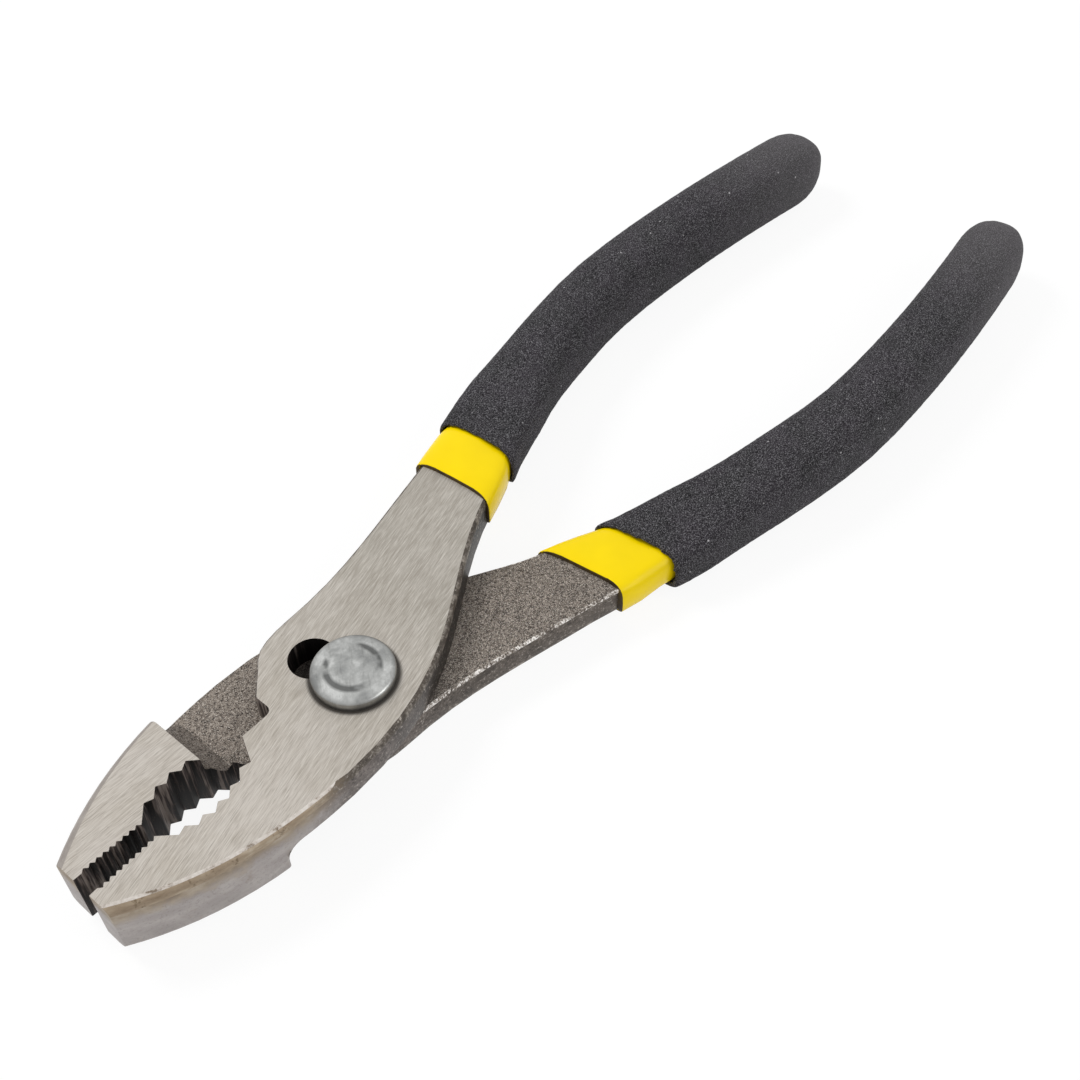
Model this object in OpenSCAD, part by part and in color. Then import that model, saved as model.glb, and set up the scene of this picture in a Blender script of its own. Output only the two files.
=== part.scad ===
// Slip joint pliers with toothed jaws, a two-position pivot and double-dipped grips.
// The jaws point to -X and the handles to +X. The pivot axis is the Z axis.
// The tool lies on its back: the pivot nut and both grips touch z = 0.
// Both levers are one forging, turned over about the mirror line that runs along X.

/* [Overall] */
// Pivot axis to the jaw tips
jaw_l = 46; // [40:1:56]
// Pivot axis to the ends of the grips
handle_l = 154; // [140:1:180]
// Thickness across both levers
lever_t = 10; // [8:0.5:13]
// Pivot axis to the mirror line of the two levers
axis_shift = 2.9; // [2.4:0.1:3.4]
// Height of the levers' back face over the surface the tool lies on
rest_drop = 2.2; // [1.8:0.1:3]
// Angle between the jaw faces as the tool lies
rest_open = 3.8; // [2:0.2:6]

/* [Jaws and joint] */
// Pivot axis to the outer side of the joint
joint_out = 11.6; // [10.5:0.1:13]
// Pivot axis to the slot side of the joint
joint_in = 14.6; // [13.6:0.1:16]
// Share of the jaw's length at the step behind its full thickness
jaw_root_share = 0.509; // [0.49:0.001:0.53]
// Radius of the cove at the foot of that step
cove_r = 3.5; // [1:0.1:4.4]
// Rounding at the outer end of that step
root_round = 1.1; // [0.5:0.1:1.8]
// Mirror line to the outer corner of a jaw tip
tip_w = 5.6; // [4.6:0.1:7]
// Rounding at the outer corner of a jaw tip
tip_round = 1.3; // [0.6:0.1:1.6]
// Rounding along the sides of the joint and the necks
side_round = 0.6; // [0.2:0.1:0.9]
// Depth of the rounding below the faces
round_depth = 1; // [0.4:0.1:1.6]
// Gap between the closed jaw faces
bite_gap = 0.2; // [0.1:0.05:0.5]

/* [Teeth] */
// Number of fine grooves in the flat of a jaw
fine_n = 9; // [5:1:11]
// Depth of the fine grooves
fine_depth = 0.5; // [0.2:0.05:0.7]
// Share of the jaw's length at the fine groove nearest the pivot
fine_end_share = 0.774; // [0.766:0.001:0.782]
// Number of grooves in the pipe grip
pipe_n = 5; // [3:1:5]
// Share of the jaw's length from the first groove of the pipe grip to the last
pipe_span_share = 0.23; // [0.19:0.002:0.234]
// Depth of the pipe grip's grooves
pipe_depth = 1; // [0.5:0.05:1.3]
// Radius of the pipe grip's hollow
pipe_r = 13; // [11:0.5:16]
// Share of the jaw's length at the middle of the pipe grip
pipe_mid_share = 0.598; // [0.588:0.001:0.608]
// Depth of the pipe grip below the jaw face
pipe_drop = 2.75; // [2.35:0.1:3.25]

/* [Wire cutter] */
// Pivot axis to the wall of the cutter notch
notch_x = 11.6; // [11:0.1:12.2]
// Pivot axis to the corner of the cutter blade
blade_x = 17.2; // [16.6:0.1:17.8]
// Floor of the cutter notch above the pivot axis
notch_y = 4.5; // [4.1:0.1:4.8]
// Corner radius of the cutter notch
notch_r = 1.1; // [0.6:0.1:1.4]

/* [Pivot] */
// Diameter of the pivot bolt's shank
pin_d = 7; // [6:0.1:7.4]
// Width across the two flats of the shank
pin_flat = 5; // [4.4:0.1:5.4]
// Distance between the two pivot positions
slot_step = 7; // [6.6:0.1:7.2]
// Direction of the second pivot position, from +X
slot_angle = 104.5; // [100:0.5:108]
// Running clearance round the shank
run_gap = 0.08; // [0.04:0.01:0.1]
// Gap between faces that slide on each other
face_gap = 0.1; // [0.05:0.01:0.15]
// Diameter of the bolt head
head_d = 12.4; // [11:0.1:13]
// Height of the bolt head's straight rim
head_rim = 1.2; // [0.6:0.1:1.6]
// Height of the bolt head
head_h = 2.3; // [1.8:0.1:3]
// Diameter of the flatter crown of the bolt head
crown_d = 8.6; // [7:0.1:9.6]
// Diameter of the threaded stud
stud_d = 5.6; // [5:0.1:5.8]
// Width of the nut across its flats
nut_af = 10; // [9:0.1:11]

/* [Handles] */
// Width of the necks where they enter the grips
neck_w = 13; // [12:0.1:13.6]
// Pivot axis to the mouth of the inner dip
dip_x = 37.2; // [36:0.1:39]
// Pivot axis to the mouth of the outer sleeve
sleeve_x = 46.4; // [45:0.1:50]
// Mirror line to the handle's centre line at the mouth of the inner dip
neck_y = 12.3; // [11.9:0.1:12.7]
// Pivot axis to the widest point of the bowed handles
bow_x = 97; // [92:1:104]
// Mirror line to the handle's centre line at the widest point
bow_y = 26.9; // [24:0.1:29]
// Mirror line to the handle's centre line at the end
end_y = 21.5; // [18:0.1:24]
// Slope of the handle's centre line at the mouth of the inner dip
neck_slope = 20; // [16:0.5:24]
// Slope of the handle's centre line at the end
end_slope = 9.5; // [4:0.5:14]
// Width of the tang inside the grip
tang_w = 6.4; // [5:0.1:7]
// Thickness of the tang inside the grip
tang_t = 7; // [5:0.1:7.6]

/* [Grips] */
// Width of the grip along its body
grip_w = 12.4; // [12:0.1:14]
// Wall of the inner dip at its mouth
dip_t = 0.8; // [0.7:0.1:1.2]
// Wall of the outer sleeve along its body
sleeve_t = 1.4; // [1:0.1:1.6]
// Wall of the outer sleeve at its mouth
lip_t = 0.6; // [0.3:0.1:1]
// Tilt of the dip lines across the two handles
dip_tilt = 5; // [0:0.5:8]
// Clearance between a grip's layers
layer_gap = 0.05; // [0.02:0.01:0.1]
// Length of the rounded end of the grip
cap_l = 9; // [6:0.5:12]
// How far the mouths of the grip layers bow back at the middle
mouth_bow = 0.9; // [0:0.1:2]

/* [Hidden] */

// Overrun of every cut past the face that it cuts
over = 1;
// Steps of the rounding along the edges
round_n = 3;
// Steps of a rounded corner
corner_n = 4;
// Steps of the cove and of each side of the lever
cove_n = 8;
neck_out_n = 8;
neck_in_n = 12;
side_n = 12;
// Stations along the tang
tang_n = 12;
// Points round a grip's section
section_n = 28;
// Facets of the true circles
circle_n = 96;

mid_t = lever_t / 2;
grip_h = lever_t + 2 * rest_drop;
face_slope = tan(rest_open / 2);

// Curves

function mix(a, b, share) = a + (b - a) * share;
function clamp01(share) = min(1, max(0, share));
function ease(share) = let (t = clamp01(share)) t * t * (3 - 2 * t);
function unit(v) = v / norm(v);
function left(v) = [-v[1], v[0]];
function bezier(p, t) = let (u = 1 - t)
    u * u * u * p[0] + 3 * u * u * t * p[1] + 3 * u * t * t * p[2] + t * t * t * p[3];
function bezier_dir(p, t) = let (u = 1 - t)
    unit(u * u * (p[1] - p[0]) + 2 * u * t * (p[2] - p[1]) + t * t * (p[3] - p[2]));

// An edge point is [x, y, inset x, inset y]. The inset is the way that a rounded edge
// moves inwards at the lever's faces, and outlines run clockwise seen from +Z.

function curve_edge(p, n, round_a, round_b, from, to) =
    [for (i = [from:to]) let (t = i / n, q = bezier(p, t), d = -left(bezier_dir(p, t)))
        concat(q, d * mix(round_a, round_b, t))];
function line_dir(p, i) = unit(p[min(i + 1, len(p) - 1)] - p[max(i - 1, 0)]);
function line_edge(p, round) =
    [for (i = [0:len(p) - 1]) concat(p[i], -left(line_dir(p, i)) * round)];

// Jaw face: the crests of both jaws meet on one line through the mirror line at the
// pivot when the tool closes by rest_open.

function face_y(x) = axis_shift + x * face_slope - bite_gap / 2;
pipe_x = jaw_l * pipe_mid_share;
pipe_pitch = jaw_l * pipe_span_share / (pipe_n - 1);
function pipe_y(x, depth) = let (mid = face_y(-pipe_x) - pipe_drop)
    mid + pipe_r - sqrt(pow(pipe_r, 2) - pow(x + pipe_x, 2)) - depth;

jaw_root = jaw_l * jaw_root_share;
fine_end = jaw_l * fine_end_share;
tip_land_share = 1.81;
fine_pitch = (jaw_l - fine_end) / (fine_n - 1 + tip_land_share);
fine_start = fine_end + (fine_n - 1) * fine_pitch;
fine_points = [for (i = [0:fine_n - 1]) let (x = -fine_start + i * fine_pitch)
    each [[x - fine_pitch / 2, face_y(x - fine_pitch / 2)], [x, face_y(x) - fine_depth]]];
pipe_start = pipe_x + (pipe_n - 1) / 2 * pipe_pitch;
pipe_points = [for (i = [0:pipe_n - 1]) let (x = -pipe_start + i * pipe_pitch)
    each [[x, pipe_y(x, pipe_depth)], [x + pipe_pitch / 2, pipe_y(x + pipe_pitch / 2, 0)]]];
flat_end = fine_end - fine_pitch / 2;
tooth_points = concat([[-jaw_l, face_y(-jaw_l)]], fine_points,
    [[-flat_end, face_y(-flat_end)]], pipe_points);

// Cutter notch: the blade runs up from the pipe grip, then the floor and the wall

pipe_end = pipe_start - (pipe_n - 1) * pipe_pitch - pipe_pitch / 2;
blade_foot_shares = [0.45, 0.1];
notch_top_share = 0.57;
notch_points = concat(
    [[-mix(pipe_end, blade_x, blade_foot_shares[0]), notch_y * blade_foot_shares[1]],
     [-blade_x, notch_y]],
    [for (i = [0:corner_n]) let (a = -90 + 90 * i / corner_n)
        [-notch_x - notch_r, notch_y + notch_r] + notch_r * [cos(a), sin(a)]],
    [[-notch_x, joint_in * notch_top_share]]);

// Slot side of the joint, in shares of joint_in

joint_in_shares = [[-0.76, 0.6], [-0.58, 0.78], [-0.48, 0.885], [-0.39, 0.945],
                   [-0.27, 0.985], [-0.12, 1.01], [0.04, 1.02]];
head_edge = line_edge([for (p = joint_in_shares) p * joint_in], side_round / 2);

// Handle centre line: two curves, from the neck to the bow and from the bow to the end

neck_pull_share = 0.34;
bow_pull_share = 0.33;
end_pull_share = 0.33;
neck_p = [dip_x, axis_shift + neck_y];
bow_p = [bow_x, axis_shift + bow_y];
end_p = [handle_l, axis_shift + end_y];
neck_run = bow_x - dip_x;
end_run = handle_l - bow_x;
bow_curve = [neck_p, neck_p + neck_pull_share * neck_run * [cos(neck_slope), sin(neck_slope)],
             bow_p - [bow_pull_share * neck_run, 0], bow_p];
end_curve = [bow_p, bow_p + [bow_pull_share * end_run, 0],
             end_p + end_pull_share * end_run * [-cos(end_slope), sin(end_slope)], end_p];
function mid_point(s) = s < 1 ? bezier(bow_curve, s) : bezier(end_curve, s - 1);
function mid_dir(s) = s < 1 ? bezier_dir(bow_curve, s) : bezier_dir(end_curve, s - 1);

// Tang: it narrows inside the grip and ends before the grip's rounded end

tang_narrow_share = 0.4;
tang_end_share = 1.72;
station_power = 1.2;
tang_stations = [for (i = [1:tang_n]) tang_end_share * pow(i / tang_n, station_power)];
function tang_half(s) = mix(neck_w, tang_w, ease(s / tang_narrow_share)) / 2;
function tang_side(s, side, gap) = mid_point(s) + side * left(mid_dir(s)) * (tang_half(s) + gap);

// Neck: both sides sweep from the joint into the tang

neck_out_shares = [[0.34, 0.02], [0.64, 0.55]];
neck_in_pull_shares = [0.37, 0.455];
neck_out_a = joint_in_shares[len(joint_in_shares) - 1] * joint_in;
neck_out_b = tang_side(0, 1, 0);
neck_out = [neck_out_a,
    [for (k = [0, 1]) mix(neck_out_a[k], neck_out_b[k], neck_out_shares[0][k])],
    [for (k = [0, 1]) mix(neck_out_a[k], neck_out_b[k], neck_out_shares[1][k])], neck_out_b];
jaw_side_shares = [[0.83, 0.66], [0.61, 1], [0.26, 1]];
neck_in_a = [-jaw_l * jaw_side_shares[2][0], -joint_out];
neck_in_b = tang_side(0, -1, 0);
neck_in_l = norm(neck_in_b - neck_in_a);
neck_in = [neck_in_b, neck_in_b - neck_in_pull_shares[0] * neck_in_l * mid_dir(0),
    neck_in_a + [neck_in_pull_shares[1] * neck_in_l, 0], neck_in_a];

// Outer side of the jaw, from the joint to the tip

jaw_side = [neck_in_a, [-jaw_l * jaw_side_shares[1][0], -joint_out],
            [-jaw_l * jaw_side_shares[0][0], -joint_out * jaw_side_shares[0][1]],
            [-jaw_l, axis_shift - tip_w]];

// The two chains of edge points round the lever, split at the end of the tang
out_edge = concat(head_edge,
    curve_edge(neck_out, neck_out_n, side_round / 2, side_round, 1, neck_out_n),
    line_edge([for (s = tang_stations) tang_side(s, 1, 0)], side_round));
tang_in_edge = line_edge([for (i = [tang_n - 1:-1:0]) tang_side(tang_stations[i], -1, 0)],
    side_round);
jaw_edge = curve_edge(jaw_side, side_n, side_round, tip_round, 0, side_n);
in_edge = concat(tang_in_edge,
    curve_edge(neck_in, neck_in_n, side_round, side_round, 0, neck_in_n - 1), jaw_edge);
lever_outline = concat(tooth_points, notch_points,
    [for (p = concat(out_edge, in_edge)) [p[0], p[1]]]);

// Solids

// Cutter that rounds the top face's edge along a chain of edge points. Its section runs
// from above the face, down the rounding and out past the side.
module edge_cut(chain) {
    last = len(chain) - 1;
    run = concat([chain[0] - over * edge_dir(chain[1] - chain[0])], chain,
        [chain[last] + over * edge_dir(chain[last] - chain[last - 1])]);
    rings = [for (p = run) let (r = norm([p[2], p[3]]), d = [p[2], p[3]] / r,
        arc = [for (k = [0:round_n]) let (a = 90 * k / round_n)
            [r * (1 - sin(a)), lever_t - round_depth * (1 - cos(a))]],
        first = 2 * arc[0] - arc[1], end = 2 * arc[round_n] - arc[round_n - 1],
        section = concat([first], [for (k = [1:round_n - 1]) arc[k]],
            [end, [-over, end[1]], [-over, lever_t + over]]))
        [for (q = section) [p[0] + q[0] * d[0], p[1] + q[0] * d[1], q[1]]]];
    n = len(rings[0]);
    top = n * (len(rings) - 1);
    sides = [for (k = [0:len(rings) - 2], i = [0:n - 1]) let (j = (i + 1) % n)
        each [[k * n + i, (k + 1) * n + j, k * n + j], [k * n + i, (k + 1) * n + i, (k + 1) * n + j]]];
    ends = [for (i = [0:n - 3])
        each [[n - 1, i, i + 1], [top + n - 1, top + i + 1, top + i]]];
    polyhedron([for (ring = rings, q = ring) q], concat(sides, ends));
}
function edge_dir(v) = let (d = unit([v[0], v[1]])) [d[0], d[1], 0, 0];

// Side view of the material under the joint, the neck and the tang: what is left there is
// the upper half of the joint, the neck, and a tang that drops to the middle of the grip
joggle_from_shares = [0.2, 0.3];
joggle_to_share = 0.62;
ceiling = mid_t + face_gap / 2;
module under_cut() {
    joggle_a = mix(dip_x, bow_x, joggle_from_shares[0]);
    joggle_b = mix(dip_x, bow_x, joggle_to_share);
    polygon([[-jaw_root, -over], [-jaw_root, ceiling - cove_r],
        for (i = [1:cove_n]) let (a = 180 - 90 * i / cove_n)
            [-jaw_root + cove_r, ceiling - cove_r] + cove_r * [cos(a), sin(a)],
        [joggle_a, ceiling], [joggle_b, mid_t - tang_t / 2],
        [handle_l, mid_t - tang_t / 2], [handle_l, -over]]);
}
module over_cut() {
    joggle_a = mix(dip_x, bow_x, joggle_from_shares[1]);
    joggle_b = mix(dip_x, bow_x, joggle_to_share);
    polygon([[joggle_a, lever_t], [joggle_b, mid_t + tang_t / 2],
        [handle_l, mid_t + tang_t / 2], [handle_l, lever_t + over], [joggle_a, lever_t + over]]);
}
module side_cut() {
    reach = bow_y + joint_in + neck_w;
    translate([0, reach, 0]) rotate([90, 0, 0]) linear_extrude(2 * reach) children();
}
// Cutter for the rounding at the outer end of the step: the step's profile, with its cove,
// moves back as it nears the side
function side_y(x) = lookup(x, [for (p = jaw_edge) [p[0], p[1]]]);
module root_cut() {
    at = side_y(-jaw_root - root_round / 2);
    back = -jaw_root + cove_r + over;
    moves = concat([[root_round, at - over]], [for (i = [corner_n:-1:0]) let (a = 90 * i / corner_n)
        [root_round * (1 - cos(a)), at + root_round * (1 - sin(a))]]);
    rings = [for (m = moves) let (x = -jaw_root - m[0])
        concat([[back, m[1], -over], [x, m[1], -over]],
            [for (i = [0:cove_n]) let (a = 180 - 90 * i / cove_n)
                [x + cove_r * (1 + cos(a)), m[1], ceiling - cove_r * (1 - sin(a))]],
            [[back, m[1], ceiling]])];
    n = len(rings[0]);
    last = len(rings) - 1;
    sides = [for (k = [0:last - 1], i = [0:n - 1]) let (j = (i + 1) % n)
        each [[k * n + j, k * n + i, (k + 1) * n + i], [k * n + j, (k + 1) * n + i, (k + 1) * n + j]]];
    ends = [for (i = [1:n - 2])
        each [[0, i, i + 1], [last * n, last * n + i + 1, last * n + i]]];
    polyhedron([for (ring = rings, q = ring) q], concat(sides, ends));
}
rounded_tang_n = 3;
module forging() {
    difference() {
        linear_extrude(lever_t) polygon(lever_outline);
        edge_cut([for (i = [0:len(out_edge) - 1 - tang_n + rounded_tang_n]) out_edge[i]]);
        edge_cut([for (i = [tang_n - rounded_tang_n:len(in_edge) - 1]) in_edge[i]]);
        translate([0, 0, lever_t]) mirror([0, 0, 1]) edge_cut(jaw_edge);
        side_cut() under_cut();
        side_cut() over_cut();
        root_cut();
    }
}

// Two round seats for the shank, joined by a waist that passes only its flats
module slot() {
    seat_r = pin_d / 2 + run_gap;
    waist = pin_flat + 2 * run_gap;
    translate([0, 0, mid_t - over]) {
        cylinder(h = mid_t + 2 * over, r = seat_r, $fn = circle_n);
        rotate([0, 0, slot_angle]) {
            translate([slot_step, 0, 0]) cylinder(h = mid_t + 2 * over, r = seat_r, $fn = circle_n);
            translate([0, -waist / 2, 0]) cube([slot_step, waist, mid_t + 2 * over]);
        }
    }
}

// Turns the upper lever's parts over about the mirror line, to give the lower lever's
module turned_over() {
    translate([0, 2 * axis_shift, lever_t]) rotate([180, 0, 0]) children();
}
module on_rest() {
    translate([0, 0, rest_drop]) children();
}

module upper_lever() {
    color([0.72, 0.71, 0.68]) on_rest() difference() {
        forging();
        slot();
    }
}

module lower_lever() {
    color([0.62, 0.6, 0.57]) on_rest() difference() {
        turned_over() forging();
        translate([0, 0, -over])
            cylinder(h = mid_t + 2 * over, r = pin_d / 2 + run_gap, $fn = circle_n);
    }
}

// Bolt: domed head, a shank with two flats in the upper lever, round in the lower one, and
// the threaded stud
crown_share = 0.72;
head_n = 5;
module bolt_head() {
    head_r = head_d / 2;
    crown_r = crown_d / 2;
    crown_h = mix(head_rim, head_h, crown_share);
    shoulder = [for (i = [0:head_n]) let (a = 90 * i / head_n)
        [crown_r + (head_r - crown_r) * cos(a), head_rim + (crown_h - head_rim) * sin(a)]];
    rotate_extrude($fn = circle_n)
        polygon(concat([[0, 0], [head_r, 0]], shoulder, [[0, head_h]]));
}
module pivot_bolt() {
    color([0.78, 0.79, 0.8]) on_rest() {
        translate([0, 0, lever_t + face_gap / 2]) bolt_head();
        intersection() {
            cylinder(h = lever_t + face_gap / 2, r = pin_d / 2, $fn = circle_n);
            rotate([0, 0, slot_angle]) translate([-pin_d, -pin_flat / 2, mid_t - over])
                cube([2 * pin_d, pin_flat, lever_t]);
        }
        cylinder(h = mid_t, r = pin_d / 2, $fn = circle_n);
        translate([0, 0, -rest_drop]) cylinder(h = rest_drop, r = stud_d / 2, $fn = circle_n);
    }
}

// Nut: a thin hexagon with chamfered corners on its outer face
nut_face_share = 0.95;
nut_chamfer_slope = 1.7;
module pivot_nut() {
    nut_h = rest_drop - face_gap / 2;
    corner_r = nut_af / 2 / cos(30);
    face_r = nut_af / 2 * nut_face_share;
    color([0.66, 0.66, 0.67]) difference() {
        intersection() {
            cylinder(h = nut_h, r = corner_r, $fn = 6);
            cylinder(h = nut_h, r1 = face_r, r2 = face_r + nut_h * nut_chamfer_slope, $fn = circle_n);
        }
        translate([0, 0, -over])
            cylinder(h = nut_h + 2 * over, r = stud_d / 2 + layer_gap, $fn = circle_n);
    }
}

// Grips. Each layer is a section that is swept along the handle's centre line. The inner
// dip is flat round the neck at its mouth, and grows taller towards the body of the grip.

function at_x(x) = x < bow_x ? (x - dip_x) / neck_run : 1 + (x - bow_x) / end_run;
body_share = 0.75;
dip_narrow_share = 0.53;
function body_ease(s) = ease((s - at_x(sleeve_x)) / (body_share - at_x(sleeve_x)));
function dip_wide(s) =
    mix(neck_w / 2 + dip_t, grip_w / 2 - sleeve_t - layer_gap, ease(s / dip_narrow_share));
wall_share = 0.2;
function wall(s) = layer_gap + mix(lip_t, sleeve_t, ease((s - at_x(sleeve_x)) / wall_share));
dip_body_h = grip_h / 2 - sleeve_t - layer_gap;
function dip_top(s) = min(mix(lever_t + dip_t, mid_t + dip_body_h, body_ease(s)),
    mid_t + grip_h / 2 - wall(s));
function dip_low(s) = mix(mid_t - dip_t, mid_t - dip_body_h, body_ease(s));
section_powers = [0.42, 0.52, 0.8];
function section_power(s) =
    mix(mix(section_powers[0], section_powers[1], ease(s / at_x(sleeve_x))), section_powers[2],
        body_ease(s));
function powered(v, p) = sign(v) * pow(abs(v), p);

// The mouth of a layer follows its dip line, which leans by lean across the handles. The
// slip moves a point of the mouth along the handle to that line.
function mouth_slip(x, lean, side) =
    let (d = mid_dir(at_x(x)), q = mid_point(at_x(x)) + left(d) * side)
    (x - lean * (q[1] - axis_shift) - q[0]) / (d[0] + lean * d[1]);

// One ring round the handle at the station s. A walled ring is the sleeve's outside. The
// mouth's slip moves each point along the same skin, so layers keep their gap there, and
// size shrinks the whole ring at the rounded end.
mouth_fade_share = 0.14;
function mouth_fade(s, x) = 1 - ease((s - at_x(x)) / mouth_fade_share);
function grip_ring(s, x, lean, fade, walled, gap, size = 1) =
    [for (i = [0:section_n - 1]) let (a = 360 * i / section_n,
        reach = dip_wide(s) * powered(cos(a), section_power(s)),
        slip = fade * (mouth_slip(x, lean, reach) + mouth_bow * pow(sin(a), 2)),
        t = s + slip / neck_run, c = mid_point(t), across = left(mid_dir(t)),
        p = section_power(t), grow = gap + (walled ? wall(t) : 0),
        side = (dip_wide(t) + grow) * size * powered(cos(a), p),
        rise = ((dip_top(t) - dip_low(t)) / 2 + grow) * size * powered(sin(a), p))
        [c[0] + across[0] * side, c[1] + across[1] * side, (dip_top(t) + dip_low(t)) / 2 + rise]];

// Both layers have their rings at the same stations. The sleeve's inside hugs the dip: only
// its first ring follows the mouth.
body_n = 20;
body_power = 1.6;
station_gap = 0.035;
cap_from = 2 - cap_l / end_run;
body_stations = [for (i = [1:body_n]) cap_from * pow(i / body_n, body_power)];
function body_rings(x, lean, lip, walled, gap) = let (first = at_x(x) + lip / neck_run)
    [for (s = concat([first], [for (t = body_stations) if (t > first + station_gap) t]))
        grip_ring(s, x, lean, gap > 0 && s > first ? 0 : mouth_fade(s, x), walled, gap)];
cap_n = 6;
cap_open = 0.3;
function cap_rings(x, lean, run, walled, gap) =
    [for (i = [1:cap_n]) let (a = 90 * i / (cap_n + cap_open), s = cap_from + run * sin(a))
        grip_ring(s, x, lean, 0, walled, gap, cos(a))];
lip_n = 2;
function lip_rings(x, lean, deep, walled) =
    [for (i = [0:lip_n])
        let (a = 90 * i / (lip_n + 1), s = at_x(x) + deep * (1 - cos(a)) / neck_run)
        grip_ring(s, x, lean, mouth_fade(s, x), walled, -deep * (1 - sin(a)))];
function reversed(v) = [for (i = [len(v) - 1:-1:0]) v[i]];

// A closed skin over rings of points, with a fan at each end. The strips before turned_n
// have their other diagonal, so that a layer's inside has the facets of the layer in it.
module skin(rings, turned_n = 0) {
    n = len(rings[0]);
    last = len(rings) - 1;
    ones = [for (q = rings[0]) 1];
    points = concat([for (ring = rings, q = ring) q],
        [ones * rings[0] / n, ones * rings[last] / n]);
    sides = [for (k = [0:last - 1], i = [0:n - 1])
        let (j = (i + 1) % n, a = k * n + i, b = k * n + j, c = a + n, d = b + n)
        each (k < turned_n ? [[a, c, b], [b, c, d]] : [[a, d, b], [a, c, d]])];
    ends = [for (i = [0:n - 1]) let (j = (i + 1) % n)
        each [[(last + 1) * n, i, j], [(last + 1) * n + 1, last * n + j, last * n + i]]];
    polyhedron(points, concat(sides, ends));
}

// The room that the neck and tang take inside the inner dip
neck_room_n = 2;
tang_room = let (last = len(tang_stations) - 1, gone = layer_gap * mid_dir(tang_end_share),
    edge = concat(
        curve_edge(neck_out, neck_out_n, 1, 1, neck_out_n - neck_room_n, neck_out_n - 1),
        line_edge([for (s = tang_stations) tang_side(s, 1, 0)], 1),
        line_edge([for (i = [last:-1:0]) tang_side(tang_stations[i], -1, 0)], 1),
        curve_edge(neck_in, neck_in_n, 1, 1, 0, neck_room_n)),
    grown = [for (p = edge) [p[0] - p[2] * layer_gap, p[1] - p[3] * layer_gap]])
    [for (i = [0:len(grown) - 1])
        grown[i] + (i == neck_room_n + last || i == neck_room_n + last + 1 ? gone : [0, 0])];
module tang_space() {
    difference() {
        translate([0, 0, -layer_gap]) linear_extrude(lever_t + 2 * layer_gap) polygon(tang_room);
        side_cut() translate([0, -layer_gap]) under_cut();
        side_cut() translate([0, layer_gap]) over_cut();
    }
}

dip_lip_share = 0.25;
sleeve_lip_share = 0.5;
module grip_liner(lean) {
    lip = dip_t * dip_lip_share;
    difference() {
        skin(concat(lip_rings(dip_x, lean, lip, false), body_rings(dip_x, lean, lip, false, 0),
            cap_rings(dip_x, lean, (cap_l - sleeve_t - layer_gap) / end_run, false, 0)));
        tang_space();
    }
}
module grip_sleeve(lean) {
    lip = lip_t * sleeve_lip_share;
    inner = concat(body_rings(sleeve_x, lean, 0, false, layer_gap),
        cap_rings(sleeve_x, lean, (cap_l - sleeve_t) / end_run, false, layer_gap));
    outer = concat(lip_rings(sleeve_x, lean, lip, true), body_rings(sleeve_x, lean, lip, true, 0),
        cap_rings(sleeve_x, lean, cap_l / end_run, true, 0));
    skin(concat(reversed(inner), outer), len(inner) - 1);
}

dip_lean = tan(dip_tilt);
module upper_grip_liner() {
    color([0.98, 0.86, 0.02]) on_rest() grip_liner(dip_lean);
}
module lower_grip_liner() {
    color([0.98, 0.86, 0.02]) on_rest() turned_over() grip_liner(-dip_lean);
}
module upper_grip_sleeve() {
    color([0.25, 0.24, 0.24]) on_rest() grip_sleeve(dip_lean);
}
module lower_grip_sleeve() {
    color([0.25, 0.24, 0.24]) on_rest() turned_over() grip_sleeve(-dip_lean);
}

upper_lever();
lower_lever();
pivot_bolt();
pivot_nut();
upper_grip_liner();
lower_grip_liner();
upper_grip_sleeve();
lower_grip_sleeve();
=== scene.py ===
"""Looks of the slip joint pliers: ground and blasted steel levers, a polished pivot, glossy
yellow inner dips and grainy black outer sleeves. Everything is in metres, in the CAD frame."""

import math

import bmesh
import bpy
import numpy as np
from mathutils import Matrix, Vector, noise
from mathutils.bvhtree import BVHTree

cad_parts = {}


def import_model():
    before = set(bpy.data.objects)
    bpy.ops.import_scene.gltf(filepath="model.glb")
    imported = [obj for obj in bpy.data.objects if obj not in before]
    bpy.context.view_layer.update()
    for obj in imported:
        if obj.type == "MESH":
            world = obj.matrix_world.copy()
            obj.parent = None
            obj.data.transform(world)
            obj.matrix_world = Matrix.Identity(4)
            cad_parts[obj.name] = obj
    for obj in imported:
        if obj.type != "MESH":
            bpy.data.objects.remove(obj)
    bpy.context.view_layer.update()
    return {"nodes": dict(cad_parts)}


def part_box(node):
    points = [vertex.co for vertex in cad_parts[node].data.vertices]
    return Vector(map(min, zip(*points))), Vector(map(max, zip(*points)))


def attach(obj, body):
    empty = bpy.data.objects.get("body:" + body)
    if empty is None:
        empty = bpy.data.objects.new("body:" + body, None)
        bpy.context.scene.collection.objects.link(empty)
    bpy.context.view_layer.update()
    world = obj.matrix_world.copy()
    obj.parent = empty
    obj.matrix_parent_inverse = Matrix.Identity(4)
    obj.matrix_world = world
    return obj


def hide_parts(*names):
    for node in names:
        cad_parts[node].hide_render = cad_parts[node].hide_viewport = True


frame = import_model()

MM = 0.001

# The levers' planes, and the axis about which the lower one is the upper one turned over
lever_low, lever_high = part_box("upper_lever")
FACE_Z = lever_high.z
BACK_Z = lever_low.z
MID_Z = (FACE_Z + BACK_Z) / 2
AXIS_Y = (lever_low.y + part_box("lower_lever")[1].y) / 2

# Places along the jaw, from the end faces of its tips
TIP_X = lever_low.x
BEHIND_TIP_X = TIP_X + 0.1 * MM
STEP_X = TIP_X + 22.5 * MM
RIM_END_X = TIP_X + 33 * MM
TOOTH_END_X = TIP_X + 35.5 * MM

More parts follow.
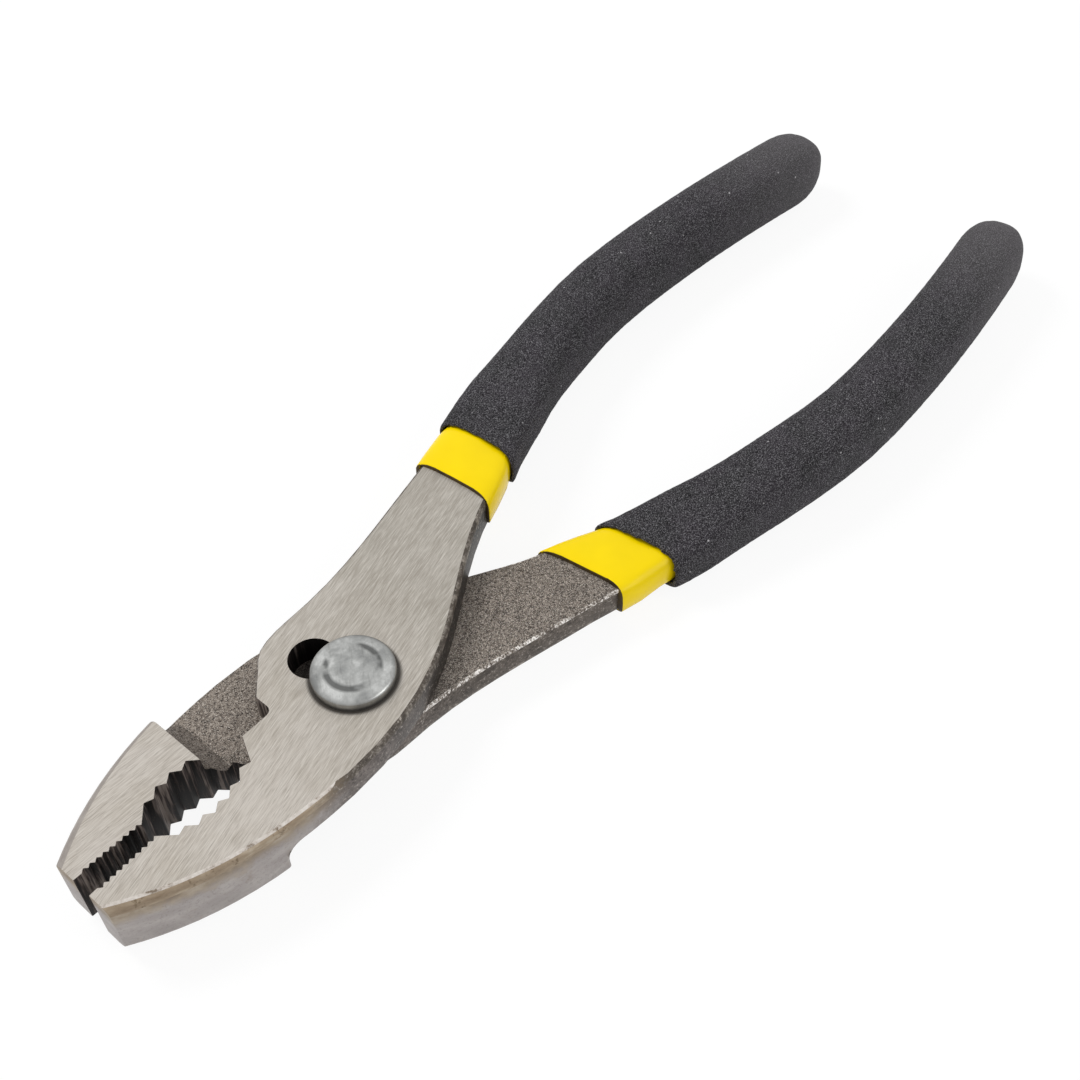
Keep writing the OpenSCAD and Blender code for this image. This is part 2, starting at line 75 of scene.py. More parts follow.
# Past the first place a lever is inside its grip, and a dip's mouth ends before the second
IN_GRIP_X = 38 * MM
MOUTH_END_X = 40 * MM

# The band across the upper lever in which its teeth and its notch lie
TOOTH_Y = (-2.5 * MM, 8 * MM)

# The cove at the foot of the step: how far it reaches along the jaw, and from the middle plane
COVE_REACH = 5.5 * MM
COVE_RISE = 3.8 * MM

# The upper lever's slot, from the seat on the frame's origin to the other one
SLIP = 7 * MM
SLIP_TURN = math.radians(104.5)
SLOT_MIDDLE = SLIP / 2 * Vector((math.cos(SLIP_TURN), math.sin(SLIP_TURN)))
SLOT_REACH = 7.4 * MM

# The lower neck's top edge where it is rubbed bright
WORN_X = (-4 * MM, 40 * MM)
WORN_LEVEL = 0.2 * MM

# The bolt's head, from the frame, and the height of its dome over the straight rim
bolt_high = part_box("pivot_bolt")[1]
HEAD_R = bolt_high.x
HEAD_TOP = bolt_high.z
HEAD_RISE = 1.1 * MM

# Rings round the pivot: a painted dark reflection on the head's crown, and a painted shadow under
# the head's edge. The core is the share of a ring's width that is at full strength.
REFLECTION_RING_R = 0.62 * HEAD_R
REFLECTION_RING_WIDTH = 0.7 * MM
HEAD_SHADOW_R = HEAD_R + 0.05 * MM
HEAD_SHADOW_WIDTH = 0.75 * MM
RING_CORE = 0.35

# Distances from the pivot over which the head's edge grows darker as painted shade, and over
# which grease with painted shade on the faces and painted shade on the walls fade out
SHOULDER_SHADE_R = (0.87 * HEAD_R, 0.98 * HEAD_R)
GREASE_AND_SHADE_R = (9 * MM, 14 * MM)
WALL_SHADE_R = (10 * MM, 12 * MM)

# Stretches along the tool over which a finish changes, towards the handles
JAW_TO_NECK_X = (-24 * MM, 20 * MM)
RECESS_TO_NECK_X = (-8 * MM, 10 * MM)
SIDE_SCALE_X = (-20 * MM, -13 * MM)
BEVEL_SCALE_X = (-20 * MM, -12 * MM)
SCALE_WANDER = 16 * MM
FOAM_END_X = (118 * MM, 150 * MM)

# Heights over the middle plane between which the jaw's tan stains set in
STAIN_RISE = (1.4 * MM, 3.4 * MM)
STAIN_WANDER = 5 * MM
TAN_BEVEL_RISE = 1 * MM

# Depths of the bumps
LINE_DEPTH = 0.02 * MM
GRAIN_DEPTH = 0.12 * MM
SCALE_DEPTH = 0.08 * MM
WORN_DEPTH = 0.06 * MM
NUT_DEPTH = 0.04 * MM
DIP_WAVE_DEPTH = 0.3 * MM
DIP_FINE_DEPTH = 0.05 * MM
FOAM_COARSE_DEPTH = 0.15 * MM
FOAM_GRAIN_DEPTH = 0.08 * MM

# Turns of the grinding lines on each lever and of the fine lines on the bolt, from +X
GRIND_TURN = {"upper": math.radians(15), "lower": math.radians(-2)}
BOLT_TURN = math.radians(52)

# The camera, as fitted to the photo
IMAGE_PX = 1080
FOCAL_PX = 1454.8
SENSOR_MM = 36.0
AZIMUTH = math.radians(-47.748)
ELEVATION = math.radians(48.889)
ROLL = math.radians(-1.911)
TARGET = Vector((42.739, 2.179, 2.2)) * MM
DISTANCE = 236.506 * MM
CLIP = (0.01, 20)


# Materials

def rgb(r, g, b):
    """A colour that is named as it shows on screen, from 0 to 255, as a linear one."""
    def linear(c):
        c /= 255
        return c / 12.92 if c <= 0.04045 else ((c + 0.055) / 1.055) ** 2.4
    return linear(r), linear(g), linear(b), 1


class Nodes:
    """Short calls for the nodes that the materials share."""

    def __init__(self, tree):
        self.tree = tree
        self.place = self.add("ShaderNodeTexCoord").outputs["Object"]

    def add(self, kind, **settings):
        node = self.tree.nodes.new(kind)
        for key, value in settings.items():
            setattr(node, key, value)
        return node

    def link(self, source, socket):
        self.tree.links.new(source, socket)

    def feed(self, socket, value):
        """Links another node's output to the socket, or sets the socket's value."""
        if isinstance(value, bpy.types.NodeSocket):
            self.link(value, socket)
        else:
            socket.default_value = value

    def scaled(self, scale, turn=(0, 0, 0)):
        """The place along axes that are turned first and then scaled."""
        node = self.add("ShaderNodeMapping", vector_type="TEXTURE")
        self.link(self.place, node.inputs["Vector"])
        node.inputs["Scale"].default_value = [1 / s for s in scale]
        node.inputs["Rotation"].default_value = turn
        return node.outputs["Vector"]

    def noise(self, vector, scale, detail=4.0, rough=0.55):
        node = self.add("ShaderNodeTexNoise")
        self.link(vector, node.inputs["Vector"])
        node.inputs["Scale"].default_value = scale
        node.inputs["Detail"].default_value = detail
        node.inputs["Roughness"].default_value = rough
        return node.outputs["Fac"]

    def cells(self, vector, scale):
        """The distance to the nearest of many scattered points."""
        node = self.add("ShaderNodeTexVoronoi", feature="F1")
        self.link(vector, node.inputs["Vector"])
        node.inputs["Scale"].default_value = scale
        return node.outputs["Distance"]

    def ramp(self, value, stops):
        """A colour ramp: stops are (place, grey or colour)."""
        node = self.add("ShaderNodeValToRGB")
        self.link(value, node.inputs["Fac"])
        elements = node.color_ramp.elements
        while len(elements) < len(stops):
            elements.new(0.5)
        for element, (place, colour) in zip(elements, stops):
            grey = isinstance(colour, (int, float))
            element.position = place
            element.color = (colour, colour, colour, 1) if grey else colour
        return node.outputs["Color"]

    def tone(self, uneven, low, high):
        """A colour or value that goes from low to high with a noise."""
        return self.ramp(uneven, [(0.3, low), (0.7, high)])

    def mix(self, share, a, b):
        node = self.add("ShaderNodeMix", data_type="RGBA", blend_type="MIX")
        self.feed(node.inputs["Factor"], share)
        self.feed(node.inputs["A"], a)
        self.feed(node.inputs["B"], b)
        return node.outputs["Result"]

    def over(self, base, colour, share, uneven, start, full):
        """The colour over the base: none of it where the noise is at start, its share at full."""
        amount = self.ramp(uneven, sorted([(start, 0.0), (full, share)]))
        return self.mix(amount, base, colour)

    def math(self, operation, a, b=0.0):
        node = self.add("ShaderNodeMath", operation=operation)
        self.feed(node.inputs[0], a)
        self.feed(node.inputs[1], b)
        return node.outputs[0]

    def times(self, a, b):
        return self.math("MULTIPLY", a, b)

    def between(self, value, low, high):
        """0 at low and before it, 1 at high and past it."""
        node = self.add("ShaderNodeMapRange", clamp=True)
        self.link(value, node.inputs["Value"])
        node.inputs["From Min"].default_value = low
        node.inputs["From Max"].default_value = high
        return node.outputs["Result"]

    def wander(self, value, uneven, reach):
        """The value, moved with a noise by up to half the reach either way."""
        return self.math("ADD", value, self.times(self.math("SUBTRACT", uneven, 0.5), reach))

    def axis(self, name):
        node = self.add("ShaderNodeSeparateXYZ")
        self.link(self.place, node.inputs[0])
        return node.outputs[name]

    def along(self, stretch):
        """0 before a stretch of the tool's length, 1 past it."""
        return self.between(self.axis("X"), *stretch)

    def radius(self):
        """Distance from the pivot's axis."""
        flat = self.add("ShaderNodeVectorMath", operation="MULTIPLY")
        self.link(self.place, flat.inputs[0])
        flat.inputs[1].default_value = (1, 1, 0)
        length = self.add("ShaderNodeVectorMath", operation="LENGTH")
        self.link(flat.outputs["Vector"], length.inputs[0])
        return length.outputs["Value"]

    def inside(self, stretch):
        """1 nearer to the pivot than the stretch of its radius, 0 past it."""
        return self.math("SUBTRACT", 1.0, self.between(self.radius(), *stretch))

    def ring(self, middle, width, uneven):
        """1 on a ring round the pivot, fading to 0 at its sides, and thinned by a noise."""
        off = self.math("ABSOLUTE", self.math("SUBTRACT", self.radius(), middle))
        near = self.between(off, width, RING_CORE * width)
        return self.times(near, self.between(uneven, 0.2, 0.4))

    def bump(self, height, strength, distance, below=None):
        node = self.add("ShaderNodeBump")
        node.inputs["Strength"].default_value = strength
        node.inputs["Distance"].default_value = distance
        self.link(height, node.inputs["Height"])
        if below is not None:
            self.link(below, node.inputs["Normal"])
        return node.outputs["Normal"]


class Finish(Nodes):
    """A new material with its nodes and its shader."""

    def __init__(self, name):
        self.material = bpy.data.materials.new(name)
        self.material.use_nodes = True
        super().__init__(self.material.node_tree)
        self.shader = self.tree.nodes["Principled BSDF"]

    def filled(self, colour, rough, metal=0.0, specular=0.5, normal=None):
        """Fills the shader's sockets and gives the material."""
        self.feed(self.shader.inputs["Base Color"], colour)
        self.feed(self.shader.inputs["Roughness"], rough)
        self.shader.inputs["Metallic"].default_value = metal
        self.shader.inputs["Specular IOR Level"].default_value = specular
        if normal is not None:
            self.link(normal, self.shader.inputs["Normal"])
        return self.material


def ground_steel(name, turn):
    """A ground face: short fine lines at the angle turn, and a thin painted shadow ring at the
    pivot, under the head's edge.
    """
    n = Finish(name)
    lines = n.noise(n.scaled((420, 7600, 600), (0, 0, turn)), 1.0, 2.0, 0.7)
    long_lines = n.noise(n.scaled((90, 4600, 300), (0, 0, turn)), 1.0, 2.0, 0.6)
    cloud = n.noise(n.place, 90, 4.0, 0.6)
    spots = n.noise(n.place, 1300, 3.0, 0.7)
    jaw = n.tone(cloud, rgb(190, 182, 171), rgb(204, 197, 189))
    neck = n.tone(cloud, rgb(168, 162, 152), rgb(182, 176, 167))
    base = n.mix(n.along(JAW_TO_NECK_X), jaw, neck)
    base = n.over(base, rgb(142, 134, 123), 0.6, lines, 0.5, 0.3)
    base = n.over(base, rgb(220, 215, 207), 0.6, lines, 0.5, 0.7)
    base = n.over(base, rgb(220, 216, 209), 0.2, long_lines, 0.55, 0.68)
    base = n.over(base, rgb(144, 136, 126), 0.2, long_lines, 0.44, 0.32)
    base = n.over(base, rgb(118, 108, 97), 0.5, spots, 0.7, 0.76)
    # Painted shadow: a dark ring round the pivot just past the head's edge
    head_shadow = n.times(n.ring(HEAD_SHADOW_R, HEAD_SHADOW_WIDTH, cloud), 0.9)
    base = n.mix(head_shadow, base, rgb(42, 36, 31))
    normal = n.bump(lines, 0.15, LINE_DEPTH)
    return n.filled(base, rough=n.tone(lines, 0.5, 0.6), metal=0.35, normal=normal)


def blasted_steel(name, shade):
    """The recesses and necks: dark brown grey with a fine bright and dark grain, darker where the
    joint turns on them, with grease and painted shade. The shade, painted shade, darkens all of it,
    as in the cove."""
    n = Finish(name)
    grain = n.noise(n.place, 3000, 2.0, 0.85)
    fine = n.noise(n.place, 6400, 2.0, 0.85)
    cloud = n.noise(n.place, 80, 4.0, 0.6)
    recess = n.tone(cloud, rgb(115, 104, 94), rgb(133, 122, 112))
    neck = n.tone(cloud, rgb(96, 86, 77), rgb(113, 103, 94))
    base = n.mix(n.along(RECESS_TO_NECK_X), recess, neck)
    base = n.over(base, rgb(32, 26, 22), 0.95, grain, 0.49, 0.38)
    base = n.over(base, rgb(176, 166, 155), 0.8, grain, 0.52, 0.66)
    base = n.over(base, rgb(226, 218, 208), 0.85, fine, 0.54, 0.66)
    base = n.over(base, rgb(48, 41, 36), 0.75, fine, 0.45, 0.32)
    # Grease and painted shade: darker near the joint, where the levers lie on each other
    base = n.mix(n.times(n.inside(GREASE_AND_SHADE_R), 0.8), base, rgb(30, 25, 21))
    base = n.mix(shade, base, rgb(52, 45, 40))
    return n.filled(base, rough=0.6, metal=0.3, normal=n.bump(grain, 0.7, GRAIN_DEPTH))


def side_steel(name, low, high):
    """The sides: satin pinkish grey at the jaws with tan stains above the middle plane, specked
    scale at the joint, and scale in tones from low to high along the neck."""
    n = Finish(name)
    grain = n.noise(n.place, 2100, 3.0, 0.8)
    blotch = n.noise(n.place, 260, 4.0, 0.65)
    streak = n.noise(n.scaled((160, 160, 520)), 1.0, 4.0, 0.6)
    satin = n.ramp(streak, [(0.3, rgb(152, 145, 142)), (0.55, rgb(167, 160, 157)),
                            (0.75, rgb(182, 176, 172))])
    satin = n.over(satin, rgb(122, 114, 110), 0.4, grain, 0.46, 0.36)
    satin = n.over(satin, rgb(138, 124, 110), 0.45, blotch, 0.56, 0.72)
    tan = n.ramp(blotch, [(0.35, rgb(122, 104, 82)), (0.5, rgb(150, 135, 114)),
                          (0.65, rgb(172, 159, 142))])
    over_middle = n.math("SUBTRACT", n.axis("Z"), MID_Z)
    stain = n.between(n.wander(over_middle, blotch, STAIN_WANDER), *STAIN_RISE)
    satin = n.mix(n.times(stain, 0.9), satin, tan)
    joint = n.tone(blotch, rgb(74, 65, 60), rgb(124, 115, 110))
    scale = n.mix(n.along(RECESS_TO_NECK_X), joint, n.tone(blotch, low, high))
    scale = n.over(scale, rgb(30, 25, 21), 0.85, grain, 0.46, 0.34)
    scale = n.over(scale, rgb(178, 170, 162), 0.8, grain, 0.57, 0.68)
    scaled = n.between(n.wander(n.axis("X"), blotch, SCALE_WANDER), *SIDE_SCALE_X)
    base = n.mix(scaled, satin, scale)
    return n.filled(base, rough=0.5, metal=0.35, normal=n.bump(grain, 0.4, SCALE_DEPTH))


def bevel_steel(name, stained):
    """The rounded edges between faces and sides: satin at the jaws, tan above the middle plane
    by the share stained, and specked scale from the joint on."""
    n = Finish(name)
    streak = n.noise(n.scaled((200, 200, 900)), 1.0, 4.0, 0.7)
    blotch = n.noise(n.place, 520, 4.0, 0.75)
    grain = n.noise(n.place, 2100, 3.0, 0.8)
    tan = n.ramp(streak, [(0.3, rgb(134, 116, 95)), (0.55, rgb(160, 144, 123)),
                          (0.75, rgb(188, 175, 157))])
    tan = n.over(tan, rgb(98, 80, 56), 0.8, blotch, 0.56, 0.66)
    satin = n.tone(streak, rgb(150, 143, 139), rgb(176, 170, 165))
    upper = n.between(n.axis("Z"), MID_Z, MID_Z + TAN_BEVEL_RISE)
    jaw = n.mix(n.times(upper, stained), satin, tan)
    scale = n.ramp(blotch, [(0.3, rgb(48, 41, 35)), (0.5, rgb(84, 76, 68)),
                            (0.68, rgb(154, 146, 137))])
    scale = n.over(scale, rgb(196, 188, 178), 0.75, grain, 0.58, 0.7)
    scaled = n.between(n.wander(n.axis("X"), blotch, SCALE_WANDER), *BEVEL_SCALE_X)
    base = n.mix(scaled, jaw, scale)
    return n.filled(base, rough=0.5, metal=0.35, normal=n.bump(blotch, 0.3, SCALE_DEPTH))


def tooth_steel():
    """Tooth flanks, slot and notch walls: black scale, streaked across the thickness, and blackened
    near the pivot as painted shade.
    """
    n = Finish("tooth_steel")
    streak = n.noise(n.scaled((760, 760, 60)), 1.0, 3.0, 0.7)
    grain = n.noise(n.place, 2600, 3.0, 0.7)
    base = n.ramp(streak, [(0.38, rgb(8, 6, 5)), (0.48, rgb(20, 15, 14)), (0.54, rgb(66, 57, 54)),
                           (0.62, rgb(138, 127, 120))])
    base = n.over(base, rgb(92, 72, 54), 0.5, grain, 0.6, 0.72)
    # Painted shade: the slot and notch walls blackened near the pivot
    base = n.mix(n.times(n.inside(WALL_SHADE_R), 0.85), base, rgb(8, 6, 5))
    normal = n.bump(streak, 0.6, GRAIN_DEPTH)
    return n.filled(base, rough=0.6, metal=0.1, specular=0.2, normal=normal)


def worn_edge():
    """Edges rubbed bright, with dark gaps and grains in them."""
    n = Finish("worn_edge")
    grain = n.noise(n.place, 2600, 3.0, 0.85)
    patch = n.noise(n.place, 420, 3.0, 0.6)
    base = n.ramp(n.wander(grain, patch, 0.5), [(0.4, rgb(72, 63, 56)), (0.5, rgb(150, 140, 130)),
                                                (0.6, rgb(250, 246, 241))])
    return n.filled(base, rough=0.4, metal=0.3, normal=n.bump(grain, 0.4, WORN_DEPTH))


def rubbed_rim():
    """The rim of a ground face: pale, thin, with a few brown breaks."""
    n = Finish("rubbed_rim")
    patch = n.noise(n.place, 620, 4.0, 0.75)
    base = n.ramp(patch, [(0.34, rgb(122, 108, 92)), (0.45, rgb(196, 187, 178)),
                          (0.65, rgb(222, 216, 209))])
    return n.filled(base, rough=0.42, metal=0.3)


def polished_steel():
    """The bolt: hazy polish with fine lines, a broken painted dark reflection round the crown, and
    its edge darkened as painted shade.
    """
    n = Finish("polished_steel")
    haze = n.noise(n.place, 300, 4.0, 0.65)
    fine = n.noise(n.scaled((500, 2600, 500), (0, 0, BOLT_TURN)), 1.0, 3.0, 0.6)
    base = n.ramp(haze, [(0.34, rgb(152, 153, 152)), (0.5, rgb(182, 183, 181)),
                         (0.66, rgb(214, 215, 213))])
    base = n.over(base, rgb(120, 120, 117), 0.3, fine, 0.45, 0.3)
    # Painted reflection: a broken dark ring round the crown
    broken = n.between(n.noise(n.place, 150, 3.0, 0.6), 0.49, 0.57)
    dark_reflection = n.times(n.ring(REFLECTION_RING_R, REFLECTION_RING_WIDTH, haze), broken)
    base = n.mix(n.times(dark_reflection, 0.85), base, rgb(88, 89, 88))
    # Painted shade: the head's shoulder and side darkened towards its edge
    shoulder_shade = n.between(n.radius(), *SHOULDER_SHADE_R)
    base = n.mix(n.times(shoulder_shade, 0.5), base, rgb(120, 120, 118))
    normal = n.bump(fine, 0.1, LINE_DEPTH)
    return n.filled(base, rough=n.tone(haze, 0.4, 0.28), metal=1.0, normal=normal)


def nut_steel():
    """The nut: dull plated steel with a light grain."""
    n = Finish("nut_steel")
    grain = n.noise(n.place, 900, 3.0, 0.6)
    base = n.tone(grain, rgb(142, 140, 137), rgb(180, 178, 174))
    return n.filled(base, rough=0.38, metal=0.9, normal=n.bump(grain, 0.15, NUT_DEPTH))


def yellow_dip():
    """Glossy yellow dip with a very soft unevenness."""
    n = Finish("yellow_dip")
    wave = n.noise(n.place, 160, 2.0)
    fine = n.noise(n.place, 1200, 2.0)
    base = n.tone(wave, rgb(248, 216, 0), rgb(254, 222, 0))
    normal = n.bump(fine, 0.03, DIP_FINE_DEPTH, below=n.bump(wave, 0.12, DIP_WAVE_DEPTH))
    return n.filled(base, rough=0.24, specular=0.18, normal=normal)


def gap_shadow_line():
    """A painted shadow line in the gap where the dip ends on the steel."""
    n = Finish("gap_shadow_line")
    base = n.tone(n.noise(n.place, 700, 3.0), rgb(34, 24, 12), rgb(82, 64, 26))
    return n.filled(base, rough=0.7)


def black_foam():
    """Grainy charcoal foam: dark pits, pale grains, a few white specks, and paler ends."""
    n = Finish("black_foam")
    grain = n.noise(n.place, 5400, 2.0, 0.85)
    coarse = n.noise(n.place, 1700, 3.0, 0.8)
    cloud = n.noise(n.place, 60, 3.0)
    tint = n.noise(n.place, 180, 2.0)
    base = n.tone(cloud, rgb(40, 39, 41), rgb(51, 50, 52))
    base = n.over(base, rgb(72, 64, 74), 0.35, tint, 0.35, 0.65)
    base = n.over(base, rgb(34, 32, 34), 0.75, coarse, 0.49, 0.38)
    base = n.over(base, rgb(12, 11, 13), 0.95, grain, 0.49, 0.37)
    base = n.over(base, rgb(134, 133, 136), 0.95, grain, 0.53, 0.64)
    base = n.mix(n.times(n.along(FOAM_END_X), 0.4), base, rgb(116, 113, 115))
    specks = n.ramp(n.cells(n.scaled((1, 1, 1), (0.4, 0.2, 0.3)), 420), [(0.05, 1.0), (0.085, 0.0)])
    rare = n.ramp(n.noise(n.place, 300, 2.0), [(0.5, 0.0), (0.58, 1.0)])
    base = n.mix(n.times(specks, rare), base, rgb(190, 188, 190))
    normal = n.bump(grain, 0.7, FOAM_GRAIN_DEPTH, below=n.bump(coarse, 0.6, FOAM_COARSE_DEPTH))
    return n.filled(base, rough=0.88, specular=0.2, normal=normal)


# Pieces

# Points of a CAD mesh that are closer than this are one point
JOIN_GAP = 0.002 * MM


def copied(node, name, materials=()):
    """A new object with the CAD node's mesh, its doubled points joined, and the materials."""
    mesh = frame["nodes"][node].data.copy()
    mesh.name = name
    mesh.materials.clear()
    for layer in list(mesh.attributes):
        if layer.name == "custom_normal":
            mesh.attributes.remove(layer)
    piece = bpy.data.objects.new(name, mesh)
    bpy.context.scene.collection.objects.link(piece)
    b = bmesh.new()
    b.from_mesh(mesh)
    bmesh.ops.remove_doubles(b, verts=b.verts, dist=JOIN_GAP)
    b.to_mesh(mesh)
    b.free()
    for m in materials:
        mesh.materials.append(m)
    return piece


def modify(piece, kind, **settings):
    """Adds a modifier and applies it at once."""
    modifier = piece.modifiers.new(kind.lower(), kind)
    for key, value in settings.items():
        setattr(modifier, key, value)
    with bpy.context.temp_override(object=piece, active_object=piece, selected_objects=[piece]):
        bpy.ops.object.modifier_apply(modifier=modifier.name)


def smooth(piece, limit):
    """Smooth shading over the edges whose faces meet at less than the limit's angle."""
    piece.data.shade_smooth()
    b = bmesh.new()
    b.from_mesh(piece.data)
    for e in b.edges:
        e.smooth = len(e.link_faces) == 2 and e.calc_face_angle(0) < limit
    b.to_mesh(piece.data)
    b.free()


# The levers' materials by their place in a lever's list
GROUND, BLASTED, SIDE, ROUNDED, TOOTH, WORN, RIM, COVE = range(8)

# A bevel with this in a material's place takes the material of the faces beside it
BESIDE = -1

# Angles between faces: on one plane, slight, and sharp
ONE_PLANE = math.radians(0.3)
SLIGHT = math.radians(5)
SHARP = math.radians(32)

# A flat face's normal has at least this share along Z, and an upright face's at most the other
FLAT = 0.999
UPRIGHT = 0.05

# A face of the cove: the most its normal has across the tool, and the least it has along Z,
# or at the cove's outer end towards the handles
COVE_ACROSS = 0.6
COVE_UP = 0.02
COVE_BACK = 0.7

# Heights that are closer than this are the same
FINE = 0.05 * MM


def upright_y(p, node):
    """The place's y on the upper lever, from which the lower one is turned over."""
    return 2 * AXIS_Y - p.y if node == "lower_lever" else p.y


def face_kind(f, node):
    """Which of the lever's materials a face takes, from its direction and place."""
    c = f.calc_center_median()
    up = abs(f.normal.z)
    y = upright_y(c, node)
    if up > FLAT:
        on_face = min(abs(c.z - FACE_Z), abs(c.z - BACK_Z)) < FINE
        return GROUND if on_face else BLASTED
    in_slot = node == "upper_lever" and (c.xy - SLOT_MIDDLE).length < SLOT_REACH
    toothed = BEHIND_TIP_X < c.x < TOOTH_END_X and TOOTH_Y[0] < y < TOOTH_Y[1]
    if up < UPRIGHT and (toothed or in_slot):
        return TOOTH
    near_step = STEP_X < c.x < STEP_X + COVE_REACH and abs(c.z - MID_Z) < COVE_RISE
    at_end = f.normal.x > COVE_BACK and y < TOOTH_Y[0]
    if near_step and abs(f.normal.y) < COVE_ACROSS and (up > COVE_UP or at_end):
        return COVE
    if c.x > IN_GRIP_X:
        return BLASTED
    return ROUNDED if up > UPRIGHT else SIDE


def on_lower_neck(e, node):
    """Whether an edge is the lower neck's top one on its outer side."""
    a, b = e.verts[0].co, e.verts[1].co
    middle = (a + b) / 2
    level = max(abs(a.z - MID_Z), abs(b.z - MID_Z)) < WORN_LEVEL
    return node == "lower_lever" and level and WORN_X[0] < middle.x < WORN_X[1] and middle.y < 0


def on_upper_jaw(e, node):
    """Whether an edge is a rim of the upper jaw's ground faces, on its outer side."""
    a, b = e.verts[0].co, e.verts[1].co
    level = min(abs(a.z - FACE_Z), abs(a.z - BACK_Z)) < FINE and abs(a.z - b.z) < FINE
    kinds = {f.material_index for f in e.link_faces}
    in_jaw = max(a.x, b.x) < RIM_END_X
    return node == "upper_lever" and level and in_jaw and kinds == {GROUND, ROUNDED}


def any_edge(e, node):
    """For the last bevel, which takes all the edges that are left."""
    return True


# The levers' bevels in turn: material, width, the least angle of an edge, and which edges
BEVELS = [(WORN, 0.42 * MM, SHARP, on_lower_neck),
          (RIM, 0.26 * MM, SLIGHT, on_upper_jaw),
          (BESIDE, 0.11 * MM, SHARP, any_edge)]


def takes_bevel(e, least):
    """Whether an edge takes a bevel: it is sharper than the least angle, and beside no worn
    edge or rim."""
    beside = {f.material_index for f in e.link_faces}
    return len(e.link_faces) == 2 and e.calc_face_angle(0) > least and not beside & {WORN, RIM}


def lever(node, name, body, materials):
    """The lever with small bevels on its sharp edges, and a material for each kind of face."""
    piece = copied(node, name, materials)
    b = bmesh.new()
    b.from_mesh(piece.data)
    bmesh.ops.dissolve_limit(b, angle_limit=ONE_PLANE, verts=b.verts, edges=b.edges)
    b.normal_update()
    for f in b.faces:
        f.material_index = face_kind(f, node)
    for kind, width, least, chosen in BEVELS:
        edges = [e for e in b.edges if takes_bevel(e, least) and chosen(e, node)]
        bmesh.ops.bevel(b, geom=edges, offset=width, offset_type="OFFSET", segments=2,
                        profile=0.5, affect="EDGES", clamp_overlap=False, material=kind)
        b.normal_update()
    bmesh.ops.triangulate(b, faces=[f for f in b.faces if len(f.verts) > 4])
    b.to_mesh(piece.data)
    b.free()
    smooth(piece, SHARP)
    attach(piece, body)
    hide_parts(node)


# The head's top from its rim inwards: shares of its radius, and of its height over the rim.
# A rounded shoulder, a shallow slope, and a low crown that stands in it.
HEAD_PROFILE = [(0.995, 0.12), (0.975, 0.25), (0.94, 0.37), (0.89, 0.46), (0.8, 0.56), (0.72, 0.63),
                (0.66, 0.675), (0.61, 0.73), (0.55, 0.8), (0.46, 0.87), (0.35, 0.93), (0.23, 0.97),
                (0.11, 0.992)]
RIM_Z = HEAD_TOP - HEAD_RISE
RIM_NEAR = 0.01 * MM


def domed(piece):
    """Rebuilds the head over its straight rim, with a crown that shows in the polish."""
    b = bmesh.new()
    b.from_mesh(piece.data)
    bmesh.ops.delete(b, geom=[v for v in b.verts if v.co.z > RIM_Z + RIM_NEAR], context="VERTS")
    rim = sorted((v for v in b.verts if v.co.z > RIM_Z - RIM_NEAR),
                 key=lambda v: math.atan2(v.co.y, v.co.x))
    ring = rim
    for share, rise in HEAD_PROFILE:
        z = RIM_Z + rise * HEAD_RISE
        inner = [b.verts.new((share * v.co.x, share * v.co.y, z)) for v in rim]
        for i in range(len(ring)):
            b.faces.new((ring[i - 1], ring[i], inner[i], inner[i - 1]))
        ring = inner
    top = b.verts.new((0, 0, HEAD_TOP))
    for i in range(len(ring)):
        b.faces.new((ring[i - 1], ring[i], top))
    bmesh.ops.recalc_face_normals(b, faces=b.faces)
    b.to_mesh(piece.data)
    b.free()


# Angles up to which the bolt and the nut are shaded smoothly
BOLT_SMOOTH = math.radians(35)
NUT_SMOOTH = math.radians(25)


def bolt(node, name, body, m, limit):
    """The pivot's bolt, with its head domed, or its nut."""
    piece = copied(node, name, [m])
    if node == "pivot_bolt":
        domed(piece)
    smooth(piece, limit)
    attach(piece, body)
    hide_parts(node)


# Triangles of a dip that are one facet: the most they turn by, and the most that is askew
FACET_TURN = math.radians(30)
FACET_SKEW = math.radians(60)
DIP_SMOOTH = math.radians(50)

# A face of a dip's mouth looks along -X by at least this
MOUTH_FACING = 0.8

# How far out a sleeve is looked for over the dip, and how far the dip stays clear under it
SLEEVE_REACH = 3 * MM
COVERED_GAP = 0.4 * MM


def liner(node, name, body, m, gap_shadow):
    """The inner dip, its facets smoothed, with a painted shadow line at its mouth, and drawn in
    where the sleeve covers it."""
    piece = copied(node, name, [m, gap_shadow])
    b = bmesh.new()
    b.from_mesh(piece.data)
    bmesh.ops.join_triangles(b, faces=b.faces, angle_face_threshold=FACET_TURN,
                             angle_shape_threshold=FACET_SKEW)
    b.normal_update()
    for f in b.faces:
        # Painted shadow: the mouth's faces take the dark line of the gap
        at_mouth = f.normal.x < -MOUTH_FACING and f.calc_center_median().x < MOUTH_END_X
        f.material_index = int(at_mouth)
    cover = frame["nodes"][node.replace("liner", "sleeve")].data
    over = BVHTree.FromPolygons([v.co for v in cover.vertices], [f.vertices for f in cover.polygons])
    pulled = [(v, v.normal * COVERED_GAP) for v in b.verts
              if over.ray_cast(v.co, v.normal, SLEEVE_REACH)[0] is not None]
    for v, inwards in pulled:
        v.co -= inwards
    b.to_mesh(piece.data)
    b.free()
    smooth(piece, DIP_SMOOTH)
    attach(piece, body)
    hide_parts(node)


# The sleeve's mesh: the size of its facets, and how often it is smoothed and by what share
VOXEL = 0.28 * MM
SMOOTH_STEPS = 12
SMOOTH_SHARE = 0.5

